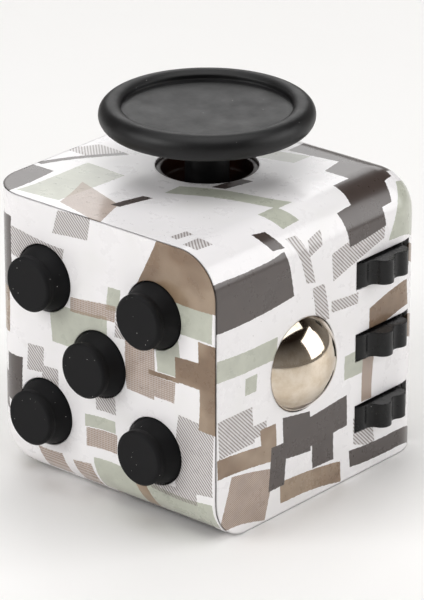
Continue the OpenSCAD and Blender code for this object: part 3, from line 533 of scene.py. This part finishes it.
class FIDGET_OT_ball(bpy.types.Operator):
    """Finish the click ball"""

    bl_idname = "fidget.ball"
    bl_label = "Ball"

    def execute(self, context):
        # Steel ball with a bright champagne nickel plating. The eye gets a clear warm mirror with
        # faint handling marks.
        plating = context.scene.fidget_finishes.ball_metal
        made, tree, place = new_material("steel, nickel plated and polished")
        marks = add(tree, "TexNoise", {"Vector": place, "Scale": 1 / 1.8, "Detail": 6.0, "Roughness": 0.7})
        touched = add(tree, "MapRange", {"Value": marks, "From Min": 0.4, "From Max": 0.7})
        tint = add(tree, "Mix", {"Factor": touched, 6: plating, 7: linear("#c9b8a0")}, out=2,
                   data_type="RGBA")
        shine = add(tree, "MapRange", {"Value": marks, "From Min": 0.35, "From Max": 0.75,
                                       "To Min": 0.05, "To Max": 0.14})
        waves = add(tree, "TexNoise", {"Vector": place, "Scale": 1 / 2.5, "Detail": 1.0})
        relief = add(tree, "Bump", {"Height": waves, "Distance": 0.01 * MM, "Strength": 0.35})
        close_material(tree, add(tree, "BsdfPrincipled", {
            "Base Color": tint, "Metallic": 1.0, "Roughness": shine, "Normal": relief}))
        give(["ball"], made)
        return {"FINISHED"}


class FIDGET_OT_works(bpy.types.Operator):
    """Finish the steel, brass, acetal and board pieces inside"""

    bl_idname = "fidget.works"
    bl_label = "Inner works"

    def execute(self, context):
        give(STEEL, steel_material())
        give(BRASS, brass_material())
        give(ACETAL, acetal_material(context.scene.fidget_finishes.grey_acetal))
        give(["button_board"], board_material())
        return {"FINISHED"}


def lay_table(context, colour):
    """Lays a wide table top under the cube."""
    mesh = bpy.data.meshes.new("table")
    r = TABLE_REACH
    mesh.from_pydata([(-r, -r, 0), (r, -r, 0), (r, r, 0), (-r, r, 0)], [], [(0, 1, 2, 3)])
    table = bpy.data.objects.new("table", mesh)
    table.location.z = CAD_BOX[0][2]
    context.scene.collection.objects.link(table)
    # Laminate board, painted: a pale even ground with the faintest mottle, 40 mm across
    made, tree, place = new_material("laminate, matt white")
    cloud = add(tree, "TexNoise", {"Vector": place, "Scale": 1 / 40, "Detail": 3.0})
    base = add(tree, "Mix", {"Factor": cloud, 6: colour, 7: linear("#f8f7f6")}, out=2, data_type="RGBA")
    grain = add(tree, "TexNoise", {"Vector": place, "Scale": 1 / 0.5, "Detail": 2.0})
    relief = add(tree, "Bump", {"Height": grain, "Distance": 0.01 * MM, "Strength": 0.2})
    close_material(tree, add(tree, "BsdfPrincipled", {
        "Base Color": base, "Roughness": 0.55, "Normal": relief}))
    mesh.materials.append(made)


def light_studio(context, key_power):
    """A pale studio that darkens towards the ceiling, so that the ball has something to mirror."""
    world = bpy.data.worlds.new("studio")
    context.scene.world = world
    world.use_nodes = True
    tree = world.node_tree
    tree.nodes.clear()
    view = add(tree, "TexCoord", out="Generated")
    height = add(tree, "SeparateXYZ", {0: view}, out=2)
    height = add(tree, "MapRange", {"Value": height, "From Min": 0.15, "From Max": 0.75})
    colour = add(tree, "Mix", {"Factor": height, 6: linear("#e9e4df"), 7: linear("#3a2f29")}, out=2,
                 data_type="RGBA")
    sky = add(tree, "Background", {"Color": colour, "Strength": 0.3})
    tree.links.new(sky, tree.nodes.new("ShaderNodeOutputWorld").inputs["Surface"])
    middle = Vector((0, 0, TOP_HIGH.z / 2))
    for name, place, size, share in SOFT_LIGHTS:
        data = bpy.data.lights.new(name, "AREA")
        data.shape = "RECTANGLE"
        data.size, data.size_y = size
        data.energy = key_power * share
        lamp = bpy.data.objects.new(name, data)
        lamp.location = place
        lamp.rotation_euler = (middle - Vector(place)).to_track_quat("-Z", "Y").to_euler()
        context.scene.collection.objects.link(lamp)


def set_camera(context, stage):
    """Aims the camera at the cube's middle, and shifts the frame to the cube's place in it."""
    back = Vector((math.sin(stage.turn) * math.cos(stage.rise),
                   -math.cos(stage.turn) * math.cos(stage.rise), math.sin(stage.rise)))
    data = bpy.data.cameras.new("camera")
    data.sensor_fit = "HORIZONTAL"
    data.sensor_width = SENSOR_WIDTH
    data.lens = stage.distance / (VIEW_WIDTH * MM) * SENSOR_WIDTH
    data.shift_x = CUBE_LEFT / VIEW_WIDTH
    data.shift_y = CUBE_DOWN / VIEW_WIDTH
    camera = bpy.data.objects.new("camera", data)
    camera.location = Vector((0, 0, TOP_HIGH.z / 2)) + back * stage.distance
    camera.rotation_euler = back.to_track_quat("Z", "Y").to_euler()
    context.scene.collection.objects.link(camera)
    context.scene.camera = camera


class FIDGET_OT_stage(bpy.types.Operator):
    """Set the table, the lights and the camera"""

    bl_idname = "fidget.stage"
    bl_label = "Stage"

    def execute(self, context):
        stage = context.scene.fidget_stage
        lay_table(context, stage.table)
        light_studio(context, stage.key_power)
        set_camera(context, stage)
        context.scene.view_settings.view_transform = "Standard"
        return {"FINISHED"}


OPERATORS = (FIDGET_OT_shells, FIDGET_OT_buttons, FIDGET_OT_joystick, FIDGET_OT_controls,
             FIDGET_OT_ball, FIDGET_OT_works, FIDGET_OT_stage)


class FIDGET_PT_panel(bpy.types.Panel):
    """Lists the finishes and the stage"""

    bl_idname = "FIDGET_PT_panel"
    bl_label = "Fidget Cube"
    bl_space_type = "VIEW_3D"
    bl_region_type = "UI"
    bl_category = "Fidget Cube"

    def draw(self, context):
        layout = self.layout
        for group in (context.scene.fidget_finishes, context.scene.fidget_stage):
            for name in group.__annotations__:
                layout.prop(group, name)
        for operator in OPERATORS:
            layout.operator(operator.bl_idname)


CLASSES = (FidgetFinishes, FidgetStage) + OPERATORS + (FIDGET_PT_panel,)


def register():
    for item in CLASSES:
        bpy.utils.register_class(item)
    bpy.types.Scene.fidget_finishes = bpy.props.PointerProperty(type=FidgetFinishes)
    bpy.types.Scene.fidget_stage = bpy.props.PointerProperty(type=FidgetStage)


def unregister():
    del bpy.types.Scene.fidget_stage
    del bpy.types.Scene.fidget_finishes
    for item in reversed(CLASSES):
        bpy.utils.unregister_class(item)


def main():
    register()
    bpy.ops.fidget.shells()
    bpy.ops.fidget.buttons()
    bpy.ops.fidget.joystick()
    bpy.ops.fidget.controls()
    bpy.ops.fidget.ball()
    bpy.ops.fidget.works()
    bpy.ops.fidget.stage()


if __name__ == "__main__":
    main()
